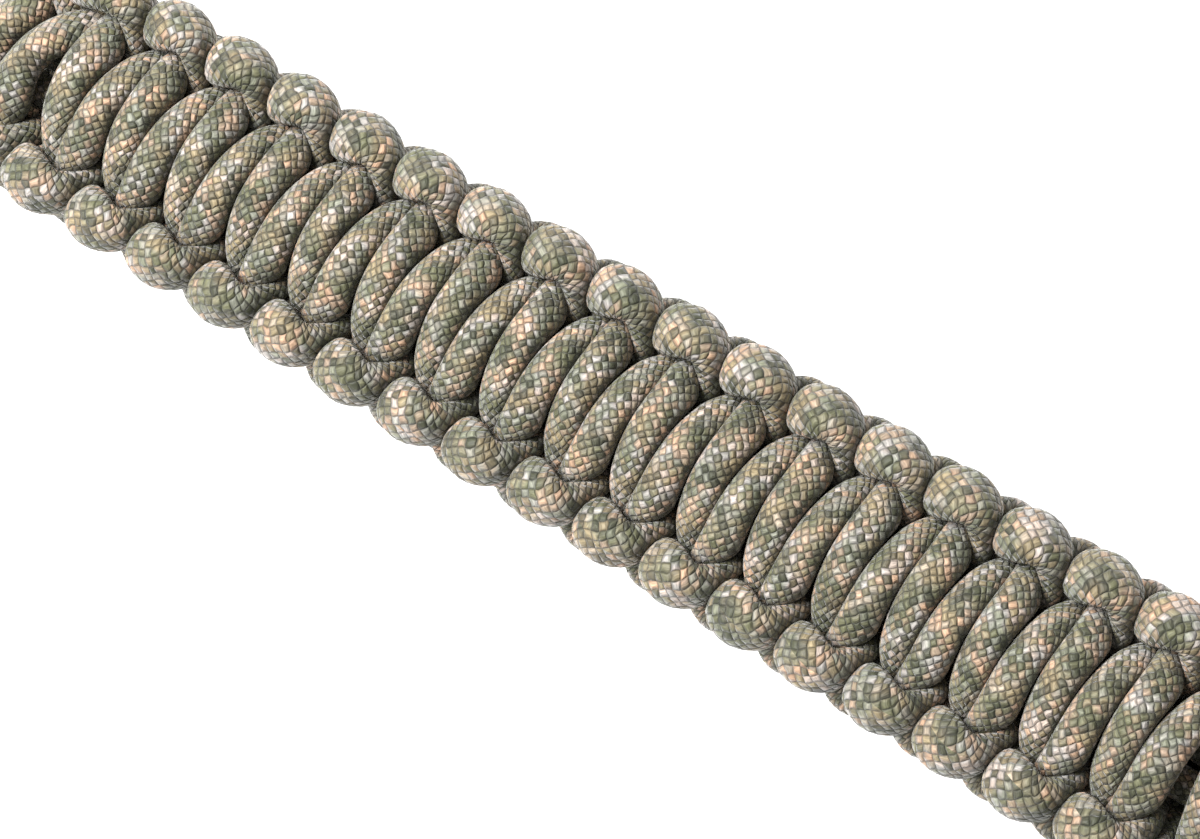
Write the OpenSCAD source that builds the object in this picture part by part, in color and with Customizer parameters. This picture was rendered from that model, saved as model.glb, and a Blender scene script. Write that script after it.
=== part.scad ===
// Paracord bracelet in a cobra weave, buckled and lying pressed flat
// Two knotting cords cross over and under a pair of core strands; every strand hooks round a clasp bar
// Millimetres, +Z up, X along the bracelet; origin at the middle of what it lies on

/* [Loop] */
// Length of each straight run of the band
straight_l = 119; // [105:1:140]
// Radius of the band's middle line in its two bends
bend_r = 12.5; // [12:0.5:20]
// How far the knots lie askew, as a share of the distance across the band
askew = 0.036; // [0:0.004:0.08]

/* [Cord] */
// Diameter of the cord
cord_d = 4; // [3.8:0.1:4.2]
// Spacing of the half knots along the band
knot_step = 3.6; // [3.5:0.1:3.9]
// Gap kept between strands that press on each other
strand_gap = 0.65; // [0.6:0.05:0.8]

/* [Core] */
// Diameter of a core strand, squeezed by the knots
core_d = 3.1; // [2.8:0.1:3.3]
// How far a knotting cord reaches towards the core that it is pulled tight on
seat_r = 1.45; // [1.2:0.05:2]

/* [Clasp] */
// Length of the clasp over its end bars
clasp_l = 49; // [42:1:56]
// Width of the clasp
clasp_w = 24; // [22:0.5:28]
// Height of the clasp on the wrist side of its bars
clasp_inner_h = 4; // [3:0.5:5]
// Diameter of a clasp bar
bar_d = 3; // [2.4:0.2:3.6]
// Corner radius of the clasp
clasp_corner_r = 4; // [2:0.5:5]
// Room from the last crossing to the bar
lead_l = 9.5; // [9:0.5:12]

/* [Hidden] */

// Sides of every swept strand
sides = 6;

// Route of the front cord over one half knot, chosen by hand. The next half knot repeats it one
// step on with its across value turned over. Along is in half-knot steps, across and up are in
// cord diameters from the band's middle, up being the outer face.
ALONG = 0;
ACROSS = 1;
UP = 2;
ROUTE = [
    // along, across, up
    [-0.12, 0.05, 1.03],
    [-0.12, 1.20, 0.82],
    [-0.24, 1.80, 0.44],
    [-0.28, 2.12, -0.18],
    [-0.02, 2.22, -0.76],
    [0.50, 2.50, -0.98],
    [1.02, 2.36, -0.80],
    [1.30, 1.96, -0.34],
    [1.18, 1.38, 0.46]
];
// The front cord's way in from its bar, before its first crossing, in the same units
WAY_IN = [
    [-1.90, -1.45, 0.50],
    [-1.00, -1.33, 0.35],
    [-0.40, -1.25, 0.50]
];
// Its way out to the other bar, after its last crossing has gone down outside the edge
WAY_OUT = [
    [0.16, 2.32, -0.68],
    [0.90, 2.15, -0.66],
    [1.55, 1.75, -0.80]
];

// Height of the highest crossings above the band's middle
cap_h = cord_d * (ROUTE[0][UP] + 0.5);
// The layer of the band that keeps its length in a bend, on the wrist side of the middle
neutral = cord_d * 0.62;
neutral_r = bend_r - neutral;
bend_l = PI * neutral_r;
half_loop = straight_l + bend_l;
mid_z = bend_r + cap_h;

hook_r = bar_d / 2 + cord_d / 2;
bar_s = half_loop - clasp_l / 2 + bar_d / 2;
half_knots = 2 * floor((bar_s - lead_l) / knot_step + 0.5);
first_s = -(half_knots - 1) / 2 * knot_step;
tail_l = 6;
core_y = cord_d * 0.46;
inner_y = (core_d + strand_gap) / 2;
outer_y = inner_y + (core_d + cord_d) / 2;
slot_w = 2 * outer_y + cord_d + strand_gap;
slot_l = hook_r + (cord_d - bar_d) / 2 + strand_gap;

rows = len(ROUTE);
STEP = [for (r = ROUTE) [r[ALONG] * knot_step, r[ACROSS] * cord_d, r[UP] * cord_d]];

function unit(v) = v / norm(v);
function odd(k) = abs(k) % 2 == 1;
function turned(p, k) = [p.x, odd(k) ? -p.y : p.y, p.z];
function half_turn(p) = [p.x, -p.y, -p.z];

// Point i of the endless weave's front cord
function spot(i) =
    let (k = floor(i / rows))
    turned(STEP[i - k * rows], k) + [k * knot_step, 0, 0];

// Points along the strands that lie round one half knot, for finding where they press
splits = 6;
function between(i) = [for (f = [0:splits - 1]) spot(i) + (spot(i + 1) - spot(i)) * f / splits];
OWN = [for (i = [-3 * rows:4 * rows]) each [for (p = between(i)) [i, p]]];
OTHER = [for (e = OWN) half_turn(e[1])];
CORE_LINE = [for (step = [-2:0.25:4], y = [-core_y, core_y]) [step * knot_step, y, 0]];

// How far a strand may reach from c along u before it meets the strand through q half way
function reach(c, u, q) =
    let (w = q - c, a = w * u)
    a > 0.05 ? w * w / (2 * a) : cord_d;
function free_reach(i, c, u) = min(concat(
    [for (e = OWN) if (abs(e[0] - i) > 2) reach(c, u, e[1])],
    [for (q = OTHER) reach(c, u, q)],
    [for (q = CORE_LINE) reach(c, u, q)]
));

// Direction of a polyline at its middle point, and the two axes across it, the first one near ref
function heading(a, c, b) = unit(unit(c - a) + unit(b - c));
function axis_near(t, ref) = unit(ref - (ref * t) * t);
function outward(p) = [0, p.y, p.z];
function round_ring(c, t, ref, d) =
    let (n = axis_near(t, ref), b = cross(t, n))
    [for (j = [0:sides - 1]) c + (n * cos(360 * j / sides) + b * sin(360 * j / sides)) * d / 2];

// Ring i of the weave: round where it is free, flattened where another strand presses on it
function pressed_ring(i) =
    let (c = spot(i),
         t = heading(spot(i - 1), c, spot(i + 1)),
         n = axis_near(t, outward(c)),
         b = cross(t, n))
    [for (j = [0:sides - 1])
        let (u = n * cos(360 * j / sides) + b * sin(360 * j / sides),
             widest = u * n < -0.9 ? seat_r : cord_d / 2)
        c + u * min(widest, free_reach(i, c, u) - strand_gap / 2)];
STEP_RINGS = [for (i = [0:rows - 1]) pressed_ring(i)];
function weave_ring(i) =
    let (k = floor(i / rows), ring = STEP_RINGS[i - k * rows], shift = [k * knot_step, 0, 0])
    [for (j = [0:sides - 1]) turned(ring[odd(k) ? (sides - j) % sides : j], k) + shift];

// The band's length s wraps round the loop: the top run, both bends and the bottom run. What lies
// across the band is moved along by its share askew, less and less towards the bars.
function in_bend(s) = abs(s) > straight_l / 2 && abs(s) < straight_l / 2 + bend_l;
function wrap(p) =
    let (along = p.x + askew * p.y * max(1 - pow(p.x / bar_s, 4), 0),
         side = along < 0 ? -1 : 1,
         s = abs(along) - straight_l / 2,
         angle = min(max(s, 0), bend_l) / neutral_r * 180 / PI,
         past = max(s - bend_l, 0),
         x = straight_l / 2 + min(s, 0) - past + (bend_r + p.z) * sin(angle))
    [side * x, p.y, mid_z + (bend_r + p.z) * cos(angle)];
// A ring keeps its own width where the outer side of a bend opens up
function open_up(c, v) = in_bend(c.x) ? neutral_r / (neutral_r + max(v.z + neutral, 0)) : 1;
function wrap_ring(c, ring) = [for (v = ring) wrap([c.x + (v.x - c.x) * open_up(c, v), v.y, v.z])];

// Hook round a bar: end is -1 or 1 for the bar's end of the band, side is the face it passes first
function hook(end, y, side) = [
    [end * (bar_s - bar_d), y, side * hook_r],
    for (a = [90:-45:-90]) [end * (bar_s + hook_r * cos(a)), y, side * hook_r * sin(a)],
    [end * (bar_s - tail_l / 2), y, -side * hook_r],
    [end * (bar_s - tail_l), y, -side * hook_r]
];
function reversed(list) = [for (i = [len(list) - 1:-1:0]) list[i]];
function scaled(points, s, flip) = [for (p = points)
    [s + p[ALONG] * knot_step, flip * p[ACROSS] * cord_d, p[UP] * cord_d]];

module sweep(rings) {
    last = len(rings) - 1;
    points = [for (ring = rings) each ring];
    sides_faces = [for (i = [0:last - 1], j = [0:sides - 1])
        let (a = i * sides + j, b = i * sides + (j + 1) % sides)
        each [[a, a + sides, b + sides], [a, b + sides, b]]];
    start_face = [for (j = [0:sides - 1]) j];
    end_face = [for (j = [sides - 1:-1:0]) last * sides + j];
    polyhedron(points = points, faces = concat([start_face], sides_faces, [end_face]), convexity = 20);
}

// Rings of a plain round stretch, with the points before and after it that set its ends' directions
function round_rings(before, points, after, d) =
    let (all = concat([before], points, [after]))
    [for (i = [1:len(points)])
        round_ring(all[i], heading(all[i - 1], all[i], all[i + 1]), outward(all[i]), d)];

// One knotting cord from bar to bar, worked out as the front cord
last_edge = odd(half_knots - 1) ? -1 : 1;
last_s = -first_s;
rows_after = 3;
weave_start = 0;
weave_end = (half_knots - 1) * rows + rows_after;
IN_POINTS = concat(reversed(hook(-1, -outer_y, 1)), scaled(WAY_IN, first_s, 1));
OUT_POINTS = concat(scaled(WAY_OUT, last_s, last_edge), hook(1, last_edge * outer_y, -1));
free_d = cord_d - strand_gap / 2;
function along(i) = spot(i) + [first_s, 0, 0];
CORD_CENTRES = concat(IN_POINTS, [for (i = [weave_start:weave_end]) along(i)], OUT_POINTS);
CORD_RINGS = concat(
    round_rings(2 * IN_POINTS[0] - IN_POINTS[1], IN_POINTS, along(weave_start), free_d),
    [for (i = [weave_start:weave_end]) [for (v = weave_ring(i)) v + [first_s, 0, 0]]],
    round_rings(along(weave_end), OUT_POINTS,
        2 * OUT_POINTS[len(OUT_POINTS) - 1] - OUT_POINTS[len(OUT_POINTS) - 2], free_d)
);

module front_cord() {
    color("#868b78")
    sweep([for (i = [0:len(CORD_RINGS) - 1]) wrap_ring(CORD_CENTRES[i], CORD_RINGS[i])]);
}

// The back cord is the front cord given half a turn about the band's middle line
module back_cord() {
    color("#797f6c")
    sweep([for (i = [0:len(CORD_RINGS) - 1])
        wrap_ring(half_turn(CORD_CENTRES[i]), [for (v = CORD_RINGS[i]) half_turn(v)])]);
}

// A core strand runs straight inside the knots and hooks round both bars
module core_strand(edge) {
    rise = [bar_s - 2.2 * bar_d, edge * inner_y, edge * hook_r * 0.3];
    far_end = concat([rise], hook(1, edge * inner_y, edge));
    near_end = reversed([for (p = far_end) [-p.x, p.y, p.z]]);
    centres = concat(
        near_end,
        [for (k = [0:half_knots])
            let (s = first_s + (k - 0.5) * knot_step)
            if (min(k, half_knots - k) % 4 == 0 || in_bend(s)) [s, edge * core_y, 0]],
        far_end
    );
    count = len(centres);
    sweep([for (i = [0:count - 1])
        let (a = i > 0 ? centres[i - 1] : 2 * centres[0] - centres[1],
             b = i < count - 1 ? centres[i + 1] : 2 * centres[i] - centres[i - 1])
        wrap_ring(centres[i], round_ring(centres[i], heading(a, centres[i], b), [0, edge, 0], core_d))]);
}

module core_cords() {
    color("#6f7463")
    for (edge = [-1, 1]) core_strand(edge);
}

module rounded_plate(l, w, r) {
    square([l - 2 * r, w], center = true);
    square([l, w - 2 * r], center = true);
    for (x = [-1, 1], y = [-1, 1])
        translate([x * (l / 2 - r), y * (w / 2 - r)]) circle(r = r, $fn = 48);
}

// The clasp lies in the middle of the bottom run, its flat face down
module clasp() {
    bar_x = half_loop - bar_s;
    h = cap_h + clasp_inner_h;
    color("#3d4038") {
        difference() {
            intersection() {
                linear_extrude(h) rounded_plate(clasp_l, clasp_w, clasp_corner_r);
                translate([0, clasp_w / 2, h / 2]) rotate([90, 0, 0])
                    linear_extrude(clasp_w) rounded_plate(clasp_l, h, clasp_corner_r / 2);
            }
            for (end = [-1, 1])
                translate([end * (bar_x + bar_d / 2 - (slot_l + bar_d) / 2), 0, h / 2])
                    cube([slot_l + bar_d, slot_w, 2 * h], center = true);
            for (end = [-1, 1])
                translate([end * clasp_l / 2, 0, h / 2])
                    cube([2 * bar_d, slot_w, 2 * h], center = true);
        }
        for (end = [-1, 1])
            translate([end * bar_x, 0, cap_h]) rotate([90, 0, 0])
                cylinder(d = bar_d, h = slot_w + bar_d, center = true, $fn = 48);
    }
}

front_cord();
back_cord();
core_cords();
clasp();
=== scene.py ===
import math

import bmesh
import bpy
import numpy as np
from mathutils import Matrix, Vector


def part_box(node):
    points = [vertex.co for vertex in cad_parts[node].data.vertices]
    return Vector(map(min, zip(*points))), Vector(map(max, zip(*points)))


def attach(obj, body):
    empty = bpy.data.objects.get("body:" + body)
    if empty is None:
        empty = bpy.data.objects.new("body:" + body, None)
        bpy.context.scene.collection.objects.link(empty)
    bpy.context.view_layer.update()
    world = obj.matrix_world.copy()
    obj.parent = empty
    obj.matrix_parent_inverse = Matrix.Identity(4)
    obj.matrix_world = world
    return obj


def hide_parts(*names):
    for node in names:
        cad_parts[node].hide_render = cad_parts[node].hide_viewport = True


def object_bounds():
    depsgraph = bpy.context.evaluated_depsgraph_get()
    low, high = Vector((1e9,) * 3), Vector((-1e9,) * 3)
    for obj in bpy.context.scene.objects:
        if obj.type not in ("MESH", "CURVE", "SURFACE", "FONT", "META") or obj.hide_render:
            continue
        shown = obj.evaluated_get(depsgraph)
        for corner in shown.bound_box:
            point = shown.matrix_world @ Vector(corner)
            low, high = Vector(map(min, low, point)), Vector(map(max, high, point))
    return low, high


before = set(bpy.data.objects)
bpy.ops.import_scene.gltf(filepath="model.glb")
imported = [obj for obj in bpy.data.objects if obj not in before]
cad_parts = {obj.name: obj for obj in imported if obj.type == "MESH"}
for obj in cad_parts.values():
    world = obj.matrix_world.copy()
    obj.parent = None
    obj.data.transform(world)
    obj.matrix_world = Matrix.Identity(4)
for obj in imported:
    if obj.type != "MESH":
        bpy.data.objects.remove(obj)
cad_box = [list(corner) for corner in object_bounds()]

# Camera
# A long lens looks down on the straight top run from above its right end, so that the band runs across the
# picture down to the right.
photo_width = 1200
photo_centre = (600, 419.5)
pixels_per_metre = 11130
camera_distance = 0.351
along_tilt = math.radians(15)
picture_turn = math.radians(31.3)
watched_depth = 0.002
watched_point = Vector((0.0007, 0, cad_box[1][2] - watched_depth))
watched_pixel = (606.4, 408.9)
sensor_mm = 36

level_right = Vector((math.cos(along_tilt), 0, -math.sin(along_tilt)))
to_camera = Vector((math.sin(along_tilt), 0, math.cos(along_tilt)))
level_up = to_camera.cross(level_right)
picture_right = math.cos(picture_turn) * level_right + math.sin(picture_turn) * level_up
picture_up = math.cos(picture_turn) * level_up - math.sin(picture_turn) * level_right
off_right = (photo_centre[0] - watched_pixel[0]) / pixels_per_metre
off_up = (watched_pixel[1] - photo_centre[1]) / pixels_per_metre
picture_middle = watched_point + off_right * picture_right + off_up * picture_up

camera = bpy.data.objects.new("camera", bpy.data.cameras.new("camera"))
bpy.context.scene.collection.objects.link(camera)
bpy.context.scene.camera = camera
camera.data.sensor_width = sensor_mm
camera.data.lens = sensor_mm * camera_distance * pixels_per_metre / photo_width
camera.data.clip_start = 0.05
camera.data.clip_end = 10
axes = Matrix((picture_right, picture_up, to_camera)).transposed().to_4x4()
camera.matrix_world = Matrix.Translation(picture_middle + camera_distance * to_camera) @ axes

# Knotting cords
# Two 4 mm braided nylon cords, each one length that hooks round a bar of the clasp at both ends, tied over
# the core in alternate half knots. Each crosses one face of the band and rounds its edge, and it flattens
# where the knots pull it tight.
cord_d = 0.004
loose_d = cord_d * 1.02
strand_gap = 0.00010
knot_step = 0.0036
half_knots = 66
last_rows = 4
askew = 0.036
straight_l = 0.119
bend_r = 0.0125
neutral_r = bend_r - cord_d * 0.62
bend_l = math.pi * neutral_r
half_loop = straight_l + bend_l
mid_z = bend_r + cord_d * 1.53
core_d = 0.0031
core_y = cord_d * 0.46
core_gap = 0.00065
bar_d = 0.003
hook_r = bar_d / 2 + cord_d / 2
bar_s = half_loop - (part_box("clasp")[1].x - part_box("clasp")[0].x) / 2 + bar_d / 2
tail_l = 0.006
core_rise_l = bar_d * 2.2
core_rise = hook_r * 0.3
core_points = 41
inner_y = (core_d + core_gap) / 2
outer_y = inner_y + (core_d + cord_d) / 2

# The route of one half knot: along is in half-knot steps, across and up are in cord diameters from the
# band's middle. The way in and the way out lead to it from the bars.
in_knots = np.array([knot_step, cord_d, cord_d])
route = in_knots * [
    (-0.12, 0.05, 1.03),
    (-0.12, 1.22, 0.74),
    (-0.24, 1.84, 0.20),
    (-0.28, 2.14, -0.34),
    (-0.02, 2.24, -0.86),
    (0.50, 2.44, -1.06),
    (1.02, 2.36, -0.88),
    (1.29, 1.86, -0.44),
    (1.18, 1.32, 0.38),
]
way_in = in_knots * [(-1.90, -1.45, 0.50), (-1.00, -1.33, 0.35), (-0.40, -1.25, 0.50)]
way_out = in_knots * [(0.16, 2.32, -0.68), (0.90, 2.15, -0.66), (1.55, 1.75, -0.80)]
# The cord's width at each row of the route, as a share of its loose width: it is thin where it dives under
# the other cord, and full in a cap at the edge.
plump = np.array([1.00, 1.00, 0.92, 0.95, 1.08, 1.18, 1.08, 0.94, 0.88])

ring_spacing = 0.0005
heading_passes = 4
flat_share = 0.24
press_sharpness = 9
own_span = 0.0012
tip_rings = 5
tip_l = cord_d * 0.22
braid_spread = cord_d / 2 * 0.35


def hook(end, y, side):
    """Points round a clasp bar: along one face, half a circle about the bar, and back along the other."""
    around = np.radians([90, 45, 0, -45, -90])
    along = end * (bar_s + hook_r * np.cos(around))
    turn = np.stack([along, np.full_like(around, y), side * hook_r * np.sin(around)], 1)
    start = [end * (bar_s - bar_d), y, side * hook_r]
    tail = [[end * (bar_s - tail_l * share), y, -side * hook_r] for share in (0.5, 1)]
    return np.vstack([start, turn, tail])


def knotting_route():
    """The rows of one half knot repeated, every other one turned over across the band, between both ends.
    The fourth column is the cord's width as a share of its loose width."""
    rows = len(route)
    i = np.arange((half_knots - 1) * rows + last_rows)
    knot = i // rows
    edge = np.where(knot % 2 == 0, 1, -1)
    first_s = -(half_knots - 1) / 2 * knot_step
    weave = route[i % rows]
    weave[:, 0] += first_s + knot * knot_step
    weave[:, 1] *= edge
    start = np.vstack([hook(-1, -outer_y, 1)[::-1], way_in + [first_s, 0, 0]])
    end = np.vstack([way_out * [1, edge[-1], 1] - [first_s, 0, 0], hook(1, edge[-1] * outer_y, -1)])
    width = np.r_[np.ones(len(start)), plump[i % rows], np.ones(len(end))]
    return np.column_stack([np.vstack([start, weave, end]), width])


def core_route(edge):
    """A core strand of one width: straight inside the knots, then out to a hook round each bar."""
    rise = [bar_s - core_rise_l, edge * inner_y, edge * core_rise]
    far = np.vstack([rise, hook(1, edge * inner_y, edge)])
    near = far[::-1] * [-1, 1, 1]
    s = np.linspace(-1, 1, core_points) * (half_knots * knot_step / 2)
    middle = np.stack([s, np.full_like(s, edge * core_y), np.zeros_like(s)], 1)
    points = np.vstack([near, middle, far])
    return np.column_stack([points, np.ones(len(points))])


def smooth_line(points):
    """Natural cubic spline through the points, sampled about every ring_spacing. Its parameter is the
    length of the chords. Its second derivatives solve the usual system of three terms a row, with zero at
    both ends."""
    t = np.r_[0, np.cumsum(np.linalg.norm(np.diff(points[:, :3], axis=0), axis=1))]
    h = np.diff(t)
    slope = np.diff(points, axis=0) / h[:, None]
    system = np.eye(len(t))
    inner = np.arange(1, len(t) - 1)
    system[inner, inner - 1] = h[:-1]
    system[inner, inner] = 2 * (h[:-1] + h[1:])
    system[inner, inner + 1] = h[1:]
    target = np.zeros_like(points)
    target[1:-1] = 6 * np.diff(slope, axis=0)
    bend = np.linalg.solve(system, target)
    at = np.linspace(0, t[-1], int(t[-1] / ring_spacing) + 1)
    k = np.clip(np.searchsorted(t, at, side="right") - 1, 0, len(h) - 1)
    a = ((t[k + 1] - at) / h[k])[:, None]
    b = 1 - a
    curve = ((a**3 - a) * bend[k] + (b**3 - b) * bend[k + 1]) * (h[k] ** 2)[:, None] / 6
    return a * points[k] + b * points[k + 1] + curve


def wrap(p):
    """Bends the straight band into the loop. Its length follows the top run, a bend and the bottom run, and
    turns about a line bend_r inside the band's middle, with the neutral layer keeping its length. The knots
    lie askew: a point moves along by a share of its place across, which fades out towards the bars."""
    along = p[..., 0] + askew * p[..., 1] * np.maximum(1 - (p[..., 0] / bar_s) ** 4, 0)
    s = np.abs(along) - straight_l / 2
    angle = np.clip(s, 0, bend_l) / neutral_r
    past = np.maximum(s - bend_l, 0)
    out = bend_r + p[..., 2]
    x = straight_l / 2 + np.minimum(s, 0) - past + out * np.sin(angle)
    return np.stack([np.sign(along) * x, p[..., 1], mid_z + out * np.cos(angle)], -1)


def unit(v):
    """Vectors divided by their lengths."""
    return v / np.linalg.norm(v, axis=-1, keepdims=True)


def evened_along(values, passes):
    """The running mean of each row, counted twice, with its neighbours, passes times. Both ends stay."""
    for _ in range(passes):
        values[1:-1] = (values[:-2] + 2 * values[1:-1] + values[2:]) / 4
    return values


def rings_of(line, reference, sides):
    """Directions round each point of a line, square to its evened heading and carried along without twist:
    the axis nearest to the reference is turned back by the twist summed up so far."""
    t = unit(np.gradient(line, axis=0))
    for _ in range(heading_passes):
        t[1:-1] = unit(t[:-2] + 2 * t[1:-1] + t[2:])
    n = unit(reference - (reference * t).sum(1)[:, None] * t)
    axis = np.cross(t[:-1], t[1:])
    cosine = (t[:-1] * t[1:]).sum(1)[:, None]
    kept = axis * (axis * n[:-1]).sum(1)[:, None] / (1 + cosine)
    carried = n[:-1] * cosine + np.cross(axis, n[:-1]) + kept
    sine = (np.cross(carried, n[1:]) * t[1:]).sum(1)
    twist = np.r_[0, np.cumsum(np.arctan2(sine, (carried * n[1:]).sum(1)))]
    angle = 2 * math.pi * np.arange(sides) / sides - twist[:, None]
    return np.cos(angle)[..., None] * n[:, None] + np.sin(angle)[..., None] * np.cross(t, n)[:, None]


def flattened(line, directions, width):
    """Half the width in each direction, more across the plane of a bend and less within it, as a soft cord
    flattens when it bends: the share grows with the bend's curvature times the width, up to flat_share."""
    bend = np.gradient(unit(np.gradient(line, axis=0)), axis=0)
    size = np.linalg.norm(bend, axis=1)
    step = np.linalg.norm(line[1] - line[0])
    share = flat_share * np.tanh(size / step * width)[:, None]
    inward = np.einsum("rsk,rk->rs", directions, bend / np.maximum(size, 1e-9)[:, None])
    return width[:, None] / 2 * (1 + share * (1 - 2 * inward**2))


def pressed(line, directions, others, width):
    """Radius in each direction: half the width where the cord is free, and where another strand or another
    stretch of the same one is near, half a gap short of the plane half way to it. The two blend smoothly:
    their high negative powers are added, and the root of the sum is taken. The rings are worked out a
    stretch at a time, each stretch with the points near it."""
    free = flattened(line, directions, width)
    own_rings = int(own_span / np.linalg.norm(line[1] - line[0]))
    far_away = 1
    stretch = 48
    points = np.vstack([line, others])
    place = np.r_[np.arange(len(line)), np.full(len(others), -10 * len(line))]
    radius = np.empty(directions.shape[:2])
    for start in range(0, len(line), stretch):
        part = slice(start, start + stretch)
        low = line[part].min(0) - width.max()
        high = line[part].max(0) + width.max()
        near = ((points > low) & (points < high)).all(1)
        way = points[near] - line[part][:, None]
        apart = np.abs(place[near] - np.arange(len(line))[part][:, None]) > own_rings
        square = np.where(apart, (way**2).sum(2), far_away)
        toward = np.einsum("rsk,rck->rsc", directions[part], way)
        reach = np.where(toward > 1e-5, square[:, None] / np.maximum(2 * toward, 1e-9), far_away).min(2)
        reach = np.maximum(reach - strand_gap / 2, width.max() / 10)
        blend = free[part] ** -press_sharpness + reach**-press_sharpness
        radius[part] = blend ** (-1 / press_sharpness)
    return radius


def evened(radius, passes=2):
    """A running mean of three round the cord and three along it, passes times."""
    for _ in range(passes):
        radius = (np.roll(radius, 1, 1) + 2 * radius + np.roll(radius, -1, 1)) / 4
        ends = np.vstack([radius[:1], radius, radius[-1:]])
        radius = (ends[:-2] + 2 * radius + ends[2:]) / 4
    return radius


def away(line):
    """Unit vectors that point out of the bend of a line, evened along it, shorter where it hardly bends."""
    bend = np.gradient(unit(np.gradient(line, axis=0)), axis=0) / np.linalg.norm(line[1] - line[0])
    size = np.linalg.norm(bend, axis=1, keepdims=True)
    return evened_along(-bend / np.maximum(size, 1e-9) * np.tanh(size * cord_d), 3)


def with_tips(line, directions, radius):
    """A strand's rings with both ends closed by rings that shrink as a quarter circle."""
    angle = np.linspace(0, 1, tip_rings, endpoint=False) * math.pi / 2
    grow = np.maximum(np.sin(angle), 0.02)[:, None]
    drop = tip_l * np.cos(angle)[:, None]
    first = line[0] - unit(line[1] - line[0]) * drop
    last = line[-1] + unit(line[-1] - line[-2]) * drop[::-1]
    centres = np.vstack([first, line, last])
    radius = np.vstack([grow * radius[0], radius, grow[::-1] * radius[-1]])
    directions = np.pad(directions, ((tip_rings, tip_rings), (0, 0), (0, 0)), mode="edge")
    return centres, directions, radius


def cord_object(name, line, directions, radius):
    """A closed tube: each ring is its point of the line plus the radius along each direction. The UV map
    has turns round the cord in u and metres along it in v. These are measured a little outside the line in
    a bend, because the braid spreads evenly over it."""
    centres, directions, radius = with_tips(line, directions, radius)
    rings, sides = radius.shape
    verts = centres[:, None] + directions * radius[..., None]
    i, j = np.meshgrid(np.arange(rings - 1), np.arange(sides), indexing="ij")
    ring = i * sides
    following = (j + 1) % sides
    faces = np.stack([ring + j, ring + following, ring + sides + following, ring + sides + j], -1)
    tips = np.array([np.arange(sides)[::-1], np.arange(sides) + (rings - 1) * sides])
    outer = centres + braid_spread * np.pad(away(line), ((tip_rings, tip_rings), (0, 0)))
    length = np.r_[0, np.cumsum(np.linalg.norm(np.diff(outer, axis=0), axis=1))]
    u = np.stack([j, j + 1, j + 1, j], -1) / sides
    v = np.stack([length[i], length[i], length[i + 1], length[i + 1]], -1)
    tip_uv = np.stack([np.zeros(2 * sides), np.repeat([0, length[-1]], sides)], 1)
    uv = np.vstack([np.stack([u.ravel(), v.ravel()], 1), tip_uv])

    mesh = bpy.data.meshes.new(name)
    quads = (rings - 1) * sides
    mesh.vertices.add(rings * sides)
    mesh.vertices.foreach_set("co", verts.ravel())
    mesh.loops.add(quads * 4 + 2 * sides)
    mesh.loops.foreach_set("vertex_index", np.r_[faces.ravel(), tips.ravel()])
    mesh.polygons.add(quads + 2)
    mesh.polygons.foreach_set("loop_start", np.r_[np.arange(quads) * 4, quads * 4, quads * 4 + sides])
    mesh.polygons.foreach_set("use_smooth", np.ones(quads + 2, bool))
    mesh.update(calc_edges=True)
    mesh.uv_layers.new(name="sheath").data.foreach_set("uv", uv.ravel())
    mesh.validate()
    piece = bpy.data.objects.new(name, mesh)
    bpy.context.scene.collection.objects.link(piece)
    return piece


flat_lines = {
    "front_cord": smooth_line(knotting_route()),
    "back_cord": smooth_line(knotting_route() * [1, -1, -1, 1]),
    "core_left": smooth_line(core_route(1)),
    "core_right": smooth_line(core_route(-1)),
}
lines = {name: wrap(line) for name, line in flat_lines.items()}


def strand(name, width, sides):
    """The finished tube of one strand, pressed by all the others."""
    line = lines[name]
    outward = line - wrap(flat_lines[name] * [1, 0, 0, 1])
    directions = rings_of(line, outward, sides)
    others = np.vstack([other for key, other in lines.items() if key != name])
    radius = evened(pressed(line, directions, others, width * flat_lines[name][:, 3]))
    return cord_object(name, line, directions, radius)


cord_sides = 22
front_cord = strand("front_cord", loose_d, cord_sides)
back_cord = strand("back_cord", loose_d, cord_sides)

# The sheath's yarns by letter: dark green, green, silver grey, white and tan, in the order in which they
# follow one another round the cord, each way.
yarn_colours = {
    "d": (0.053, 0.051, 0.035),
    "g": (0.107, 0.098, 0.064),
    "s": (0.154, 0.145, 0.121),
    "w": (0.204, 0.190, 0.179),
    "t": (0.200, 0.149, 0.109),
}
right_yarns = "ggdstwwgdgst"
left_yarns = "gsdggttwsdgg"
yarns = len(right_yarns)
pick = 0.00087
# A slow noise shifts the yarns by half this share of their width at most
drift_share = 0.5
# About a third of the floats take the next yarn's colour
slip_above = 0.68
braid_relief = 0.00017


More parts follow.
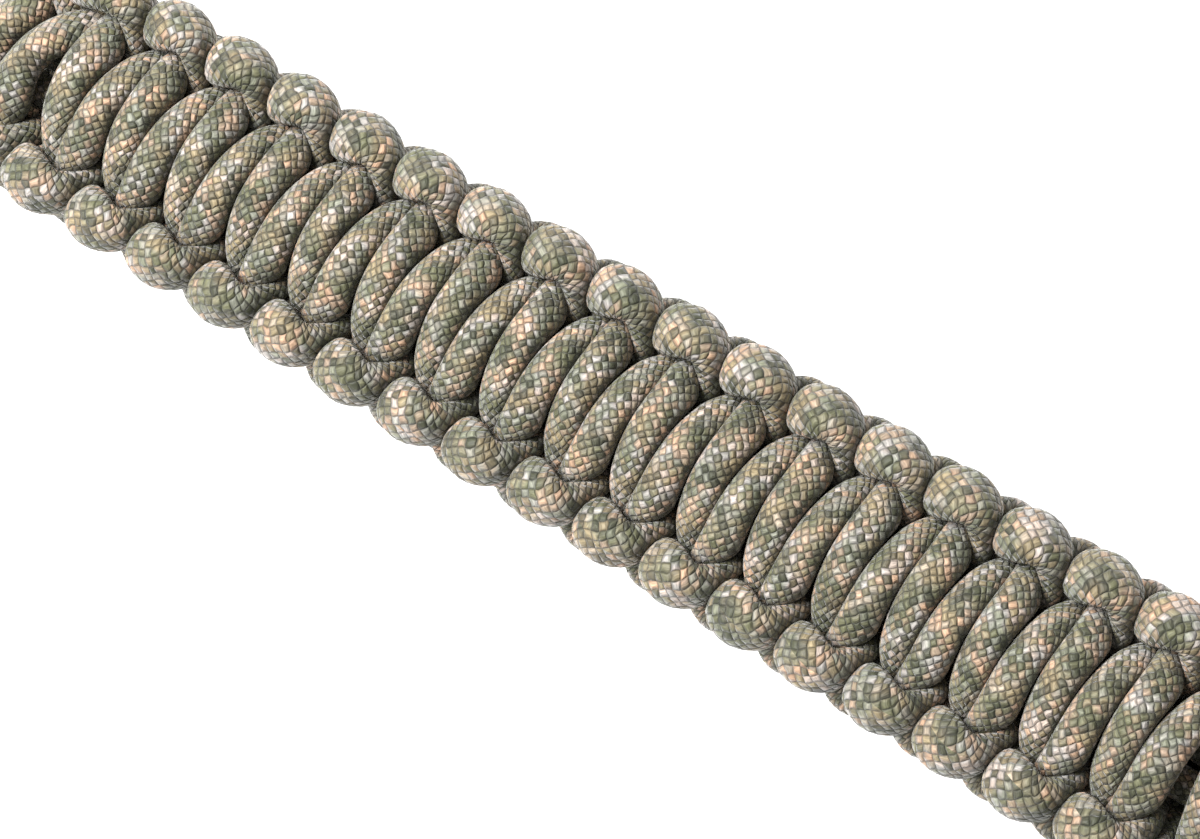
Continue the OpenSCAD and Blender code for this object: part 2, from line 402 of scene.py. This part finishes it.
class Nodes:
    """Adds nodes to a new material, each with its inputs given as other nodes' results or as values."""

    def __init__(self, name):
        self.material = bpy.data.materials.new(name)
        self.material.use_nodes = True
        self.tree = self.material.node_tree
        self.shader = self.tree.nodes["Principled BSDF"]

    def put(self, value, socket):
        """Links another node's result to a socket, or sets the socket's own value."""
        if isinstance(value, bpy.types.NodeSocket):
            self.tree.links.new(value, socket)
        else:
            socket.default_value = value

    def maths(self, operation, *values):
        """The result of one operation on the values."""
        node = self.tree.nodes.new("ShaderNodeMath")
        node.operation = operation
        for socket, value in zip(node.inputs, values):
            self.put(value, socket)
        return node.outputs[0]

    def scaled(self, value, least, span):
        """A value between zero and one, times a span, plus the least that it can then be."""
        return self.maths("ADD", least, self.maths("MULTIPLY", value, span))

    def mixed(self, kind, share, a, b):
        """Two colours mixed or multiplied, by a share."""
        node = self.tree.nodes.new("ShaderNodeMix")
        node.data_type = "RGBA"
        node.blend_type = kind
        for socket, value in zip((node.inputs[0], node.inputs[6], node.inputs[7]), (share, a, b)):
            self.put(value, socket)
        return node.outputs[2]

    def point(self, x, y):
        """A point made of two values."""
        node = self.tree.nodes.new("ShaderNodeCombineXYZ")
        self.put(x, node.inputs[0])
        self.put(y, node.inputs[1])
        return node.outputs[0]

    def parts(self, value):
        """The first two values of a point or a colour."""
        node = self.tree.nodes.new("ShaderNodeSeparateXYZ")
        self.put(value, node.inputs[0])
        return node.outputs[0], node.outputs[1]

    def grey(self, tone):
        """A colour with the same value three times."""
        node = self.tree.nodes.new("ShaderNodeCombineColor")
        for socket in node.inputs[:3]:
            self.put(tone, socket)
        return node.outputs[0]

    def noise(self, place, scale, detail, dimensions="2D"):
        """A noise node, whose results are a value and a colour."""
        node = self.tree.nodes.new("ShaderNodeTexNoise")
        node.noise_dimensions = dimensions
        node.inputs["Scale"].default_value = scale
        node.inputs["Detail"].default_value = detail
        self.put(place, node.inputs["Vector"])
        return node

    def ramp(self, value, stops, interpolation="LINEAR"):
        """A colour ramp, its stops given as pairs of a position and a colour."""
        node = self.tree.nodes.new("ShaderNodeValToRGB")
        node.color_ramp.interpolation = interpolation
        elements = node.color_ramp.elements
        while len(elements) < len(stops):
            elements.new(1)
        for element, (position, colour) in zip(elements, stops):
            element.position = position
            element.color = (*colour, 1)
        self.put(value, node.inputs[0])
        return node.outputs[0]

    def relief(self, height, distance, strength=1.0):
        """Bumps the surface by a height between zero and one, times a distance."""
        node = self.tree.nodes.new("ShaderNodeBump")
        node.inputs["Strength"].default_value = strength
        node.inputs["Distance"].default_value = distance
        self.put(height, node.inputs["Height"])
        self.put(node.outputs[0], self.shader.inputs["Normal"])


class Braid(Nodes):
    """A braided sheath with twelve yarns each way, one over and one under. With u yarns round the cord and
    v picks along it, u - v numbers the right-hand yarns and u + v the left-hand ones. Whether the sum of
    the two numbers is even or odd says which one lies on top."""

    def __init__(self, name):
        super().__init__(name)
        uv = self.tree.nodes.new("ShaderNodeUVMap")
        uv.uv_map = "sheath"
        turns, metres = self.parts(uv.outputs[0])
        even_u = self.maths("MULTIPLY", turns, yarns)
        even_v = self.maths("DIVIDE", metres, pick)
        self.even = self.point(even_u, even_v)
        drift_u, drift_v = self.parts(self.noise(self.even, 0.8, 1).outputs["Color"])
        u = self.maths("ADD", even_u, self.scaled(drift_u, -drift_share / 2, drift_share))
        v = self.maths("ADD", even_v, self.scaled(drift_v, -drift_share / 2, drift_share))
        self.right = self.maths("SUBTRACT", u, v)
        self.left = self.maths("ADD", u, v)
        self.right_number = self.maths("FLOOR", self.right)
        self.left_number = self.maths("FLOOR", self.left)
        both = self.maths("ADD", self.right_number, self.left_number)
        self.left_top = self.maths("FLOORED_MODULO", both, 2)
        self.right_top = self.maths("SUBTRACT", 1, self.left_top)

    def chosen(self, if_right, if_left):
        """One value where a right-hand yarn is on top, the other where a left-hand one is."""
        right_part = self.maths("MULTIPLY", if_right, self.right_top)
        left_part = self.maths("MULTIPLY", if_left, self.left_top)
        return self.maths("ADD", right_part, left_part)

    def rounded(self, share, power):
        """One in the middle of a yarn and zero at its sides."""
        off = self.maths("ABSOLUTE", self.maths("SUBTRACT", self.maths("MULTIPLY", share, 2), 1))
        return self.maths("SUBTRACT", 1, self.maths("POWER", off, power))

    def height(self):
        """The rounded form of each float, by how far the point is across the top yarn and along it."""
        right_share = self.maths("SUBTRACT", self.right, self.right_number)
        left_share = self.maths("SUBTRACT", self.left, self.left_number)
        across = self.rounded(self.chosen(right_share, left_share), 2.0)
        along = self.rounded(self.chosen(left_share, right_share), 5.0)
        return self.maths("MULTIPLY", across, along)

    def chance(self):
        """A number from zero to one, the same all over a float."""
        node = self.tree.nodes.new("ShaderNodeTexWhiteNoise")
        self.put(self.point(self.right_number, self.left_number), node.inputs[0])
        return node.outputs[0]

    def fibre(self):
        """A noise drawn out along the top yarn, for its fine fibres."""
        across = self.maths("MULTIPLY", self.chosen(self.right, self.left), 5)
        along = self.maths("MULTIPLY", self.chosen(self.left, self.right), 1.2)
        return self.noise(self.point(across, along), 1, 2).outputs[0]

    def by_number(self, letters, number):
        """The colour of a yarn by its number, one constant step of a ramp each."""
        place = self.maths("FLOORED_MODULO", number, yarns)
        share = self.maths("DIVIDE", self.maths("ADD", place, 0.5), yarns)
        stops = [(k / yarns, yarn_colours[letter]) for k, letter in enumerate(letters)]
        return self.ramp(share, stops, "CONSTANT")

    def yarn(self, slip):
        """The colour of the top yarn, or of the next one where slip is one."""
        right_colour = self.by_number(right_yarns, self.maths("ADD", self.right_number, slip))
        left_colour = self.by_number(left_yarns, self.maths("ADD", self.left_number, slip))
        return self.mixed("MIX", self.left_top, right_colour, left_colour)

    def patches(self):
        """The patches of the camouflage, several floats wide: darker and greener, or lighter, browner."""
        dark = (0.37, (0.62, 0.68, 0.56))
        middle = (0.50, (1.00, 1.00, 0.98))
        light = (0.63, (1.35, 1.17, 1.03))
        return self.ramp(self.noise(self.even, 0.36, 2).outputs[0], [dark, middle, light])


def sheath_material():
    """The braid's colour is its yarns times the patches times a grey tone. Each float has its own shade of
    the tone,
    and the tone holds painted shade: it is darker in the creases between the floats, and between the
    fibres, which also have their own shades."""
    braid = Braid("camouflage_sheath")
    maths = braid.maths
    height = braid.height()
    fibre = braid.fibre()
    chance = braid.chance()
    slip = maths("GREATER_THAN", chance, slip_above)
    second_chance = maths("FRACT", maths("MULTIPLY", chance, 17))
    shade = braid.scaled(second_chance, 0.78, 0.44)
    # Painted shade: the grey tone is darkest at the edges of each float, in the creases between the floats.
    painted_crease_shade = maths("POWER", maths("MAXIMUM", height, 0.0), 0.80)
    tone = maths("MULTIPLY", shade, braid.scaled(painted_crease_shade, 0.42, 0.80))
    # The fibre noise streaks the tone along each yarn: the fibres' own shades, with painted shade between
    # them.
    tone = maths("MULTIPLY", tone, braid.scaled(fibre, 0.40, 1.2))
    colour = braid.mixed("MULTIPLY", 1, braid.yarn(slip), braid.patches())
    colour = braid.mixed("MULTIPLY", 1, colour, braid.grey(tone))
    braid.put(colour, braid.shader.inputs["Base Color"])
    braid.relief(maths("ADD", height, maths("MULTIPLY", fibre, 0.35)), braid_relief)
    braid.shader.inputs["Roughness"].default_value = 0.60
    braid.shader.inputs["Specular IOR Level"].default_value = 0.30
    braid.shader.inputs["Sheen Weight"].default_value = 0.18
    braid.shader.inputs["Sheen Roughness"].default_value = 0.4
    return braid.material


camouflage_sheath = sheath_material()
for cord in (front_cord, back_cord):
    cord.data.materials.append(camouflage_sheath)
    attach(cord, "root")
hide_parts("front_cord")
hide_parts("back_cord")

# Core strands
# Two straight strands of the same cord lie side by side inside the knots, squeezed by them, and hook
# round the clasp's bars at both ends.
core_sides = 16
core_left = strand("core_left", core_d, core_sides)
core_right = strand("core_right", core_d, core_sides)
for core in (core_left, core_right):
    core.data.materials.append(camouflage_sheath)
    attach(core, "root")
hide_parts("core_cords")
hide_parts("core_cords")

# Clasp
# A closed clasp of dark moulded plastic, one plain piece: a flat body with rounded corners, and a bar at
# each end that the cords hook round.
clasp_edge_r = 0.0008
grain_relief = 0.00003
clasp = bpy.data.objects.new("moulded_clasp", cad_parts["clasp"].data.copy())
bpy.context.scene.collection.objects.link(clasp)
clasp.data.materials.clear()
body = bmesh.new()
body.from_mesh(clasp.data)
bmesh.ops.remove_doubles(body, verts=body.verts, dist=1e-6)
bmesh.ops.dissolve_limit(body, angle_limit=math.radians(1), verts=body.verts, edges=body.edges)
body.to_mesh(clasp.data)
body.free()
clasp.data.shade_smooth()
rounding = clasp.modifiers.new("rounded_edges", "BEVEL")
rounding.width = clasp_edge_r
rounding.segments = 3
rounding.limit_method = "ANGLE"
rounding.angle_limit = math.radians(40)
clasp.modifiers.new("even_shading", "WEIGHTED_NORMAL")

plastic = Nodes("moulded_plastic")
place = plastic.tree.nodes.new("ShaderNodeTexCoord")
grain = plastic.noise(place.outputs["Object"], 2600, 4, "3D").outputs[0]
dark_green = plastic.ramp(grain, [(0.3, (0.020, 0.023, 0.018)), (0.7, (0.034, 0.037, 0.029))])
plastic.put(dark_green, plastic.shader.inputs["Base Color"])
plastic.put(plastic.scaled(grain, 0.38, 0.2), plastic.shader.inputs["Roughness"])
plastic.relief(grain, grain_relief, 0.6)
clasp.data.materials.append(plastic.material)
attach(clasp, "root")
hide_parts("clasp")

# Floor and light
# A white floor under soft light from everywhere, with a large soft lamp above the far left of the picture.
floor_half = 3.0
floor_z = min(0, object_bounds()[0].z)
corners = [(-1, -1), (1, -1), (1, 1), (-1, 1)]
floor_mesh = bpy.data.meshes.new("floor")
floor_verts = [(x * floor_half, y * floor_half, floor_z) for x, y in corners]
floor_mesh.from_pydata(floor_verts, [], [(0, 1, 2, 3)])
floor = bpy.data.objects.new("floor", floor_mesh)
bpy.context.scene.collection.objects.link(floor)
paper = Nodes("white_floor")
paper.shader.inputs["Base Color"].default_value = (0.9, 0.9, 0.9, 1)
paper.shader.inputs["Roughness"].default_value = 0.9
floor.data.materials.append(paper.material)

world = bpy.data.worlds.new("studio")
world.use_nodes = True
world.node_tree.nodes["Background"].inputs["Color"].default_value = (1, 1, 1, 1)
world.node_tree.nodes["Background"].inputs["Strength"].default_value = 0.52
bpy.context.scene.world = world

lamp_size = 0.40
lamp_distance = 0.65
lamp_way = (-0.60 * picture_right + 0.33 * picture_up + 0.73 * to_camera).normalized()
lamp = bpy.data.objects.new("key_lamp", bpy.data.lights.new("key_lamp", "AREA"))
bpy.context.scene.collection.objects.link(lamp)
lamp.data.shape = "DISK"
lamp.data.size = lamp_size
lamp.data.energy = 16
lamp.location = watched_point + lamp_distance * lamp_way
lamp.rotation_euler = lamp_way.to_track_quat("Z", "Y").to_euler()
bpy.context.scene.view_settings.view_transform = "Standard"
